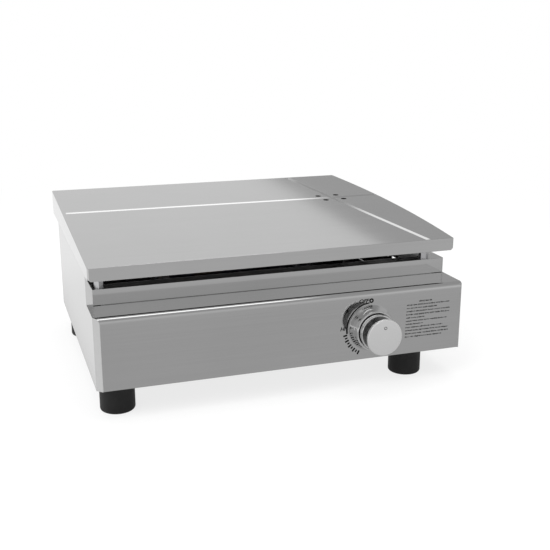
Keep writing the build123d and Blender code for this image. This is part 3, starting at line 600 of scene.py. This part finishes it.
world = bpy.data.worlds.new("studio")
scene.world = world
world.use_nodes = True
wt = world.node_tree
wt.nodes.clear()
wo = wt.nodes.new("ShaderNodeOutputWorld")
bg_cam = wt.nodes.new("ShaderNodeBackground")
bg_cam.inputs["Color"].default_value = (1, 1, 1, 1)
bg_cam.inputs["Strength"].default_value = 1.0
bg_env = wt.nodes.new("ShaderNodeBackground")
wlp = wt.nodes.new("ShaderNodeLightPath")
wmx = wt.nodes.new("ShaderNodeMixShader")
tc = wt.nodes.new("ShaderNodeTexCoord")
sp = wt.nodes.new("ShaderNodeSeparateXYZ")
wt.links.new(tc.outputs["Generated"], sp.inputs[0])


def w_remap(sock, a, b, c, d):
    n = wt.nodes.new("ShaderNodeMapRange")
    n.interpolation_type = "SMOOTHSTEP"
    wt.links.new(sock, n.inputs["Value"])
    for k, v in (("From Min", a), ("From Max", b), ("To Min", c), ("To Max", d)):
        n.inputs[k].default_value = v
    return n.outputs["Result"]


def w_math(op, p, q):
    n = wt.nodes.new("ShaderNodeMath")
    n.operation = op
    for i, v in enumerate((p, q)):
        if isinstance(v, (int, float)):
            n.inputs[i].default_value = v
        else:
            wt.links.new(v, n.inputs[i])
    return n.outputs[0]


front = w_remap(sp.outputs["Y"], -0.25, -0.6, 0.0, 1.0)          # towards the camera side
low = w_remap(sp.outputs["Z"], 0.62, 0.42, 0.0, 1.0)             # below about 30 degrees
leftback = w_math("MULTIPLY", w_remap(sp.outputs["X"], 0.12, -0.02, 0.0, 1.0), w_remap(sp.outputs["Y"], 0.2, 0.6, 0.0, 1.0))
leftback = w_math("MULTIPLY", leftback, w_remap(sp.outputs["Z"], 0.22, 0.12, 0.0, 1.0))
w_lvl = w_math("ADD", 0.52, w_math("MULTIPLY", w_math("MULTIPLY", front, low), 0.26))
w_lvl = w_math("ADD", w_lvl, w_math("MULTIPLY", leftback, 0.22))
right = w_remap(sp.outputs["X"], 0.25, 0.6, 0.0, 1.0)
w_lvl = w_math("ADD", w_lvl, w_math("MULTIPLY", w_math("MULTIPLY", front, right), 0.10))
wt.links.new(w_lvl, bg_env.inputs["Strength"])
wt.links.new(wlp.outputs["Is Camera Ray"], wmx.inputs[0])
wt.links.new(bg_env.outputs[0], wmx.inputs[1])
wt.links.new(bg_cam.outputs[0], wmx.inputs[2])
wt.links.new(wmx.outputs[0], wo.inputs["Surface"])


def card(name, x0, x1, y0, y1, z, strength, x1b=None, soft=0.0):
    """Overhead reflector seen only in reflections; soft is the width of its faded border."""
    me = bpy.data.meshes.new(name)
    me.from_pydata([(x0, y0, z), (x1, y0, z), (x1 if x1b is None else x1b, y1, z), (x0, y1, z)], [], [(0, 3, 2, 1)])
    o = bpy.data.objects.new(name, me)
    scene.collection.objects.link(o)
    mm = Mat(name + "_mat")
    e = mm.new("ShaderNodeEmission")
    e.inputs["Strength"].default_value = strength
    if soft:
        gs = mm.new("ShaderNodeNewGeometry")
        ss = mm.new("ShaderNodeSeparateXYZ")
        mm.link(gs.outputs["Position"], ss.inputs[0])
        fx = mm.math("MINIMUM", mm.math("SUBTRACT", ss.outputs["X"], x0), mm.math("SUBTRACT", x1, ss.outputs["X"]))
        fy = mm.math("MINIMUM", mm.math("SUBTRACT", ss.outputs["Y"], y0), mm.math("SUBTRACT", y1, ss.outputs["Y"]))
        fade = mm.math("MULTIPLY", mm.remap(fx, 0.0, soft, 0.0, 1.0, True), mm.remap(fy, 0.0, soft, 0.0, 1.0, True))
        clear = mm.new("ShaderNodeBsdfTransparent")
        blendn = mm.new("ShaderNodeMixShader")
        mm.link(fade, blendn.inputs[0])
        mm.link(clear.outputs[0], blendn.inputs[1])
        mm.link(e.outputs[0], blendn.inputs[2])
        mm.link(blendn.outputs[0], mm.out.inputs["Surface"])
    else:
        mm.link(e.outputs[0], mm.out.inputs["Surface"])
    me.materials.append(mm.m)
    o.visible_camera = False
    o.visible_diffuse = False
    o.visible_shadow = False
    o.visible_transmission = False
    return o


card("card_back", -4.5, 1.54, 2.0, 8.0, 1.18, 0.74, 1.05)
card("card_high", -0.24, 0.66, 0.34, 0.88, 1.18, 1.7, soft=0.16)
card("card_mid", 0.12, 0.62, 0.86, 1.62, 1.18, 1.2, soft=0.16)
card("card_front", -2.4, 0.48, -0.60, -0.04, 1.18, 1.9, soft=0.16)


def area(name, loc, target, size, power):
    l = bpy.data.lights.new(name, "AREA")
    l.shape = "RECTANGLE"
    l.size, l.size_y = size
    l.energy = power
    o = bpy.data.objects.new(name, l)
    scene.collection.objects.link(o)
    o.location = loc
    o.rotation_mode = "QUATERNION"
    o.rotation_quaternion = (Vector(target) - Vector(loc)).to_track_quat("-Z", "Y")
    o.visible_glossy = False
    o.visible_camera = False
    return o


area("key_left", (-1.5, -0.9, 1.9), (0, 0, 0.05), (1.8, 1.8), 42)
area("fill_top", (0.3, 0.4, 2.4), (0, 0, 0.0), (2.6, 2.6), 52)

# ------------------------------------------------------------------ camera
cam_d = bpy.data.cameras.new("camera")
cam_d.lens = 877.01 * 36.0 / 550.0
cam_d.shift_x, cam_d.shift_y = -0.5 / 550.0, 0.35 / 550.0
cam_d.sensor_width = 36.0
cam = bpy.data.objects.new("camera", cam_d)
scene.collection.objects.link(cam)
az, el = math.radians(-18.8954), math.radians(15.7465)
back = Vector((math.sin(az) * math.cos(el), -math.cos(az) * math.cos(el), math.sin(el)))
cam.location = (-0.3184772, -1.0475265, 0.4016877)
cam.rotation_mode = "QUATERNION"
cam.rotation_quaternion = (-back).to_track_quat("-Z", "Y")
cam_d.clip_start, cam_d.clip_end = 0.02, 100.0
scene.camera = cam
